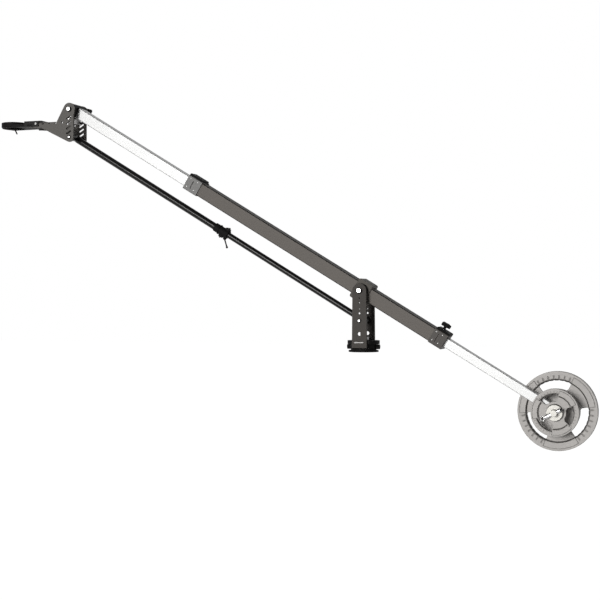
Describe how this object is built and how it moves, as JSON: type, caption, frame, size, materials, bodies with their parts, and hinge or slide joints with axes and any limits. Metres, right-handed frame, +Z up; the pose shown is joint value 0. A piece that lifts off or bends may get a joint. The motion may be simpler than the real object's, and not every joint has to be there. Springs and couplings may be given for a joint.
{
  "type": "camera jib crane",
  "caption": "Counterweighted telescoping boom on a turntable column, with a parallel rod that keeps its camera platform level as the boom tilts.",
  "frame": {"origin": "centre of the base flange's underside, where the crane is bolted down", "axes": "+Z up along the pan axis, +X from the column toward the weights, +Y along the tilt axle toward the side with the head's lock knob"},
  "size_m": [2.3965, 0.1801, 1.3243],
  "materials": {
    "grey_coated": "satin",
    "light_grey_coated": "satin",
    "black_anodised": "satin",
    "silver_anodised": "satin",
    "bare_aluminium": "satin",
    "black_plastic": "satin",
    "white_nylon": "matte",
    "bright_steel": "polished",
    "bronze": "satin",
    "cast_iron": "matte"
  },
  "bodies": {
    "base": {"base_flange": "black_anodised", "pan_bearing_ring": "bright_steel", "pan_spindle_nut": "bright_steel"},
    "column": {"turntable": "black_anodised", "column_foot": "black_anodised", "column_plate_front": "grey_coated", "column_plate_rear": "grey_coated", "tilt_bush_front": "bronze", "tilt_bush_rear": "bronze", "column_rod_pin": "bright_steel"},
    "pan_lock_knob": {"pan_lock_knob": "black_plastic"},
    "pan_drag_knob": {"pan_drag_knob": "black_plastic"},
    "boom": {"saddle": "light_grey_coated", "tilt_axle_front": "bright_steel", "tilt_axle_rear": "bright_steel", "tilt_hub_front": "black_anodised", "tilt_hub_rear": "black_anodised", "outer_tube": "grey_coated", "front_clamp_block": "light_grey_coated", "front_clamp_cap": "black_plastic", "front_guide_sleeve": "white_nylon", "rear_clamp_block": "grey_coated", "rear_clamp_cap": "black_plastic", "rear_guide_sleeve": "white_nylon"},
    "front_clamp_knob": {"front_clamp_knob": "black_plastic"},
    "rear_clamp_knob": {"rear_clamp_knob": "black_plastic"},
    "front_stage": {"front_tube": "silver_anodised", "front_tube_glide": "white_nylon", "boom_end_fitting": "black_anodised", "head_bush_front": "bronze", "head_bush_rear": "bronze"},
    "rear_stage": {"rear_tube": "silver_anodised", "rear_tube_glide": "white_nylon", "weight_bar": "bright_steel", "weight_washer_front": "bright_steel", "weight_washer_rear": "bright_steel"},
    "large_weight": {"large_weight": "cast_iron"},
    "small_weight": {"small_weight": "cast_iron"},
    "cross_pin_front": {"cross_pin_front": "bright_steel"},
    "cross_pin_rear": {"cross_pin_rear": "bright_steel"},
    "pull_ring_front": {"pull_ring_front": "bright_steel"},
    "pull_ring_rear": {"pull_ring_rear": "bright_steel"},
    "head": {"head_plate_front": "grey_coated", "head_plate_rear": "grey_coated", "head_axle": "bright_steel", "head_tie_bar": "bare_aluminium", "head_rod_pin": "bright_steel", "platform_channel": "black_anodised", "bowl_casting": "black_anodised", "platform_screw_front": "bright_steel", "platform_screw_rear": "bright_steel"},
    "head_lock_knob": {"head_lock_knob": "black_plastic"},
    "camera_plate": {"camera_plate": "black_anodised"},
    "camera_screw_knob": {"camera_screw_knob": "black_plastic"},
    "rod_lower": {"rod_inner_tube": "black_anodised", "rod_column_eye": "black_anodised"},
    "rod_upper": {"rod_outer_tube": "black_anodised", "rod_head_eye": "black_anodised", "rod_clamp_collar": "black_plastic"},
    "rod_clamp_lever": {"rod_clamp_lever": "black_plastic"}
  },
  "joints": [
    {"name": "pan", "type": "hinge", "parent": "base", "child": "column", "pos_m": [0, 0, 0.02], "axis": [0, 0, 1], "continuous": true},
    {"name": "pan_lock_knob_turn", "type": "hinge", "parent": "column", "child": "pan_lock_knob", "pos_m": [-0.056, 0, 0.0193], "axis": [-1, 0, 0], "continuous": true},
    {"name": "pan_drag_knob_turn", "type": "hinge", "parent": "column", "child": "pan_drag_knob", "pos_m": [0.056, 0, 0.0193], "axis": [1, 0, 0], "continuous": true},
    {"name": "tilt", "type": "hinge", "parent": "column", "child": "boom", "pos_m": [0, 0, 0.228], "axis": [0, 1, 0], "range_deg": [-71, 14]},
    {"name": "front_slide", "type": "slide", "parent": "boom", "child": "front_stage", "axis": [0.8572, 0, -0.515], "range_m": [0, 0.48]},
    {"name": "rear_slide", "type": "slide", "parent": "boom", "child": "rear_stage", "axis": [-0.8572, 0, 0.515], "range_m": [0, 0.31]},
    {"name": "front_clamp_knob_turn", "type": "hinge", "parent": "boom", "child": "front_clamp_knob", "pos_m": [-0.67973, 0.045, 0.63643], "axis": [0, 1, 0], "continuous": true},
    {"name": "rear_clamp_knob_turn", "type": "hinge", "parent": "boom", "child": "rear_clamp_knob", "pos_m": [0.31205, 0, 0.09884], "axis": [0.515, 0, 0.8572], "continuous": true},
    {"name": "head_level", "type": "hinge", "parent": "front_stage", "child": "head", "pos_m": [-1.20775, 0, 0.95369], "axis": [0, 1, 0], "range_deg": [-14, 71]},
    {"name": "head_lock_knob_turn", "type": "hinge", "parent": "head", "child": "head_lock_knob", "pos_m": [-1.20775, 0.08, 0.95369], "axis": [0, 1, 0], "continuous": true},
    {"name": "camera_pitch", "type": "hinge", "parent": "head", "child": "camera_plate", "pos_m": [-1.48875, 0, 0.91469], "axis": [0, 1, 0], "range_deg": [-10, 10]},
    {"name": "camera_screw_turn", "type": "hinge", "parent": "camera_plate", "child": "camera_screw_knob", "pos_m": [-1.48875, 0, 0.893], "axis": [0, 0, 1], "continuous": true},
    {"name": "rod_swing", "type": "hinge", "parent": "column", "child": "rod_lower", "pos_m": [0, 0, 0.1165], "axis": [0, 1, 0], "range_deg": [-71, 14]},
    {"name": "rod_slide", "type": "slide", "parent": "rod_lower", "child": "rod_upper", "axis": [0.8572, 0, -0.515], "range_m": [0, 0.48]},
    {"name": "rod_lever_turn", "type": "hinge", "parent": "rod_upper", "child": "rod_clamp_lever", "pos_m": [-0.55975, 0, 0.4295], "axis": [0.515, 0, 0.8572], "range_deg": [-90, 90]},
    {"name": "large_weight_turn", "type": "hinge", "parent": "rear_stage", "child": "large_weight", "pos_m": [0.71182, 0.0367, -0.20274], "axis": [0, 1, 0], "continuous": true},
    {"name": "small_weight_turn", "type": "hinge", "parent": "rear_stage", "child": "small_weight", "pos_m": [0.71182, -0.0332, -0.20274], "axis": [0, 1, 0], "continuous": true},
    {"name": "front_pin_pull", "type": "slide", "parent": "rear_stage", "child": "cross_pin_front", "axis": [-0.891, 0, -0.454], "range_m": [0, 0.055]},
    {"name": "rear_pin_pull", "type": "slide", "parent": "rear_stage", "child": "cross_pin_rear", "axis": [-0.891, 0, -0.454], "range_m": [0, 0.055]},
    {"name": "front_ring_swing", "type": "hinge", "parent": "cross_pin_front", "child": "pull_ring_front", "pos_m": [0.67886, -0.0612, -0.21954], "axis": [-0.454, 0, 0.891], "range_deg": [-70, 70]},
    {"name": "rear_ring_swing", "type": "hinge", "parent": "cross_pin_rear", "child": "pull_ring_rear", "pos_m": [0.67886, 0.0682, -0.21954], "axis": [-0.454, 0, 0.891], "range_deg": [-70, 70]}
  ],
  "couplings": [
    {"joint": "head_level", "follows": "tilt", "ratio": -1},
    {"joint": "rod_swing", "follows": "tilt", "ratio": 1},
    {"joint": "rod_slide", "follows": "front_slide", "ratio": 1}
  ]
}
